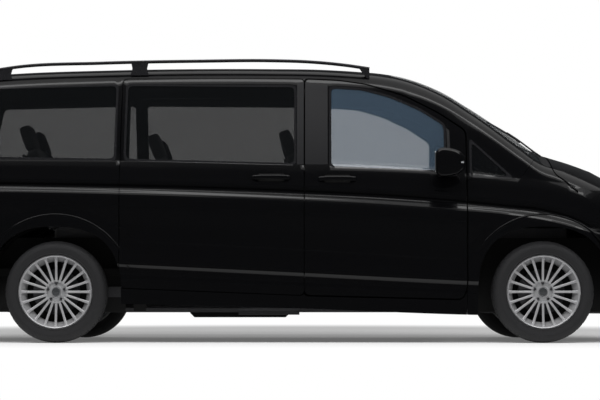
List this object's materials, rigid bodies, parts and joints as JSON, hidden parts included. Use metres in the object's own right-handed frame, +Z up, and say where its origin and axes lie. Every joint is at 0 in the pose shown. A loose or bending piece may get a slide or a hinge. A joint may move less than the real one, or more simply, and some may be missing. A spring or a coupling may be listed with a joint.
{
  "type": "minivan",
  "caption": "Long black minivan with sliding side doors, three rows of seats, roof rails and thin-spoked alloy wheels.",
  "frame": {"origin": "on the ground, below the middle of the length and width", "axes": "+X forward towards the nose, +Z up, -Y the vehicle's right-hand side"},
  "size_m": [5.1396, 2.21, 1.8964],
  "materials": {
    "paint": "gloss",
    "plastic": "matte",
    "glass": "gloss",
    "trim": "satin",
    "alloy": "satin",
    "rubber": "matte",
    "steel": "satin",
    "lamp": "gloss",
    "red_lamp": "gloss",
    "cloth": "matte"
  },
  "bodies": {
    "root": {"body_side_left": "paint", "body_side_right": "paint", "dashboard": "plastic", "engine": "steel", "exhaust": "steel", "fender_left": "paint", "fender_right": "paint", "floor_pan": "plastic", "front_bumper": "paint", "front_quarter_glass_left": "glass", "front_quarter_glass_right": "glass", "front_seat_left": "cloth", "front_seat_right": "cloth", "front_subframe": "steel", "fuel_tank": "plastic", "grille": "trim", "headlamp_left": "lamp", "headlamp_right": "lamp", "rear_axle": "steel", "rear_bumper": "paint", "rear_quarter_glass_left": "glass", "rear_quarter_glass_right": "glass", "roof_panel": "paint", "roof_rail_left": "trim", "roof_rail_right": "trim", "scuttle": "plastic", "second_row_seat": "cloth", "sliding_door_glass_left": "glass", "sliding_door_glass_right": "glass", "sliding_door_left": "paint", "sliding_door_right": "paint", "tail_lamp_left": "red_lamp", "tail_lamp_right": "red_lamp", "third_row_seat": "cloth", "windscreen": "glass"},
    "front_door_right": {"front_door_right": "paint", "front_door_glass_right": "glass", "mirror_right": "paint"},
    "front_door_left": {"front_door_left": "paint", "front_door_glass_left": "glass", "mirror_left": "paint"},
    "tailgate": {"tailgate": "paint", "rear_window": "glass"},
    "bonnet": {"bonnet": "paint"},
    "knuckle_right": {"knuckle_right": "steel"},
    "wheel_front_right": {"tyre_front_right": "rubber", "rim_front_right": "alloy"},
    "wheel_rear_right": {"tyre_rear_right": "rubber", "rim_rear_right": "alloy"},
    "knuckle_left": {"knuckle_left": "steel"},
    "wheel_front_left": {"tyre_front_left": "rubber", "rim_front_left": "alloy"},
    "wheel_rear_left": {"tyre_rear_left": "rubber", "rim_rear_left": "alloy"}
  },
  "joints": [
    {"name": "front_door_right_swing", "type": "hinge", "parent": "root", "child": "front_door_right", "pos_m": [1.1713, -0.9624, 0.8576], "axis": [0, 0.1045, 0.9945], "range_deg": [0, 68]},
    {"name": "front_door_left_swing", "type": "hinge", "parent": "root", "child": "front_door_left", "pos_m": [1.1713, 0.9624, 0.8576], "axis": [0, 0.1045, -0.9945], "range_deg": [0, 68]},
    {"name": "tailgate_lift", "type": "hinge", "parent": "root", "child": "tailgate", "pos_m": [-2.2252, 0, 1.8158], "axis": [0, 1, 0], "range_deg": [0, 85]},
    {"name": "bonnet_lift", "type": "hinge", "parent": "root", "child": "bonnet", "pos_m": [1.7511, 0, 1.2745], "axis": [0, -1, 0], "range_deg": [0, 60]},
    {"name": "steering_right", "type": "hinge", "parent": "root", "child": "knuckle_right", "pos_m": [1.675, -0.7, 0.335], "axis": [0, 0, 1], "range_deg": [-35, 35]},
    {"name": "steering_left", "type": "hinge", "parent": "root", "child": "knuckle_left", "pos_m": [1.675, 0.7, 0.335], "axis": [0, 0, 1], "range_deg": [-35, 35]},
    {"name": "wheel_front_right_spin", "type": "hinge", "parent": "knuckle_right", "child": "wheel_front_right", "pos_m": [1.675, -0.8225, 0.335], "axis": [0, 1, 0], "continuous": true},
    {"name": "wheel_rear_right_spin", "type": "hinge", "parent": "root", "child": "wheel_rear_right", "pos_m": [-1.525, -0.8225, 0.335], "axis": [0, 1, 0], "continuous": true},
    {"name": "wheel_front_left_spin", "type": "hinge", "parent": "knuckle_left", "child": "wheel_front_left", "pos_m": [1.675, 0.8225, 0.335], "axis": [0, 1, 0], "continuous": true},
    {"name": "wheel_rear_left_spin", "type": "hinge", "parent": "root", "child": "wheel_rear_left", "pos_m": [-1.525, 0.8225, 0.335], "axis": [0, 1, 0], "continuous": true}
  ],
  "couplings": [
    {"joint": "steering_left", "follows": "steering_right", "ratio": 1}
  ]
}
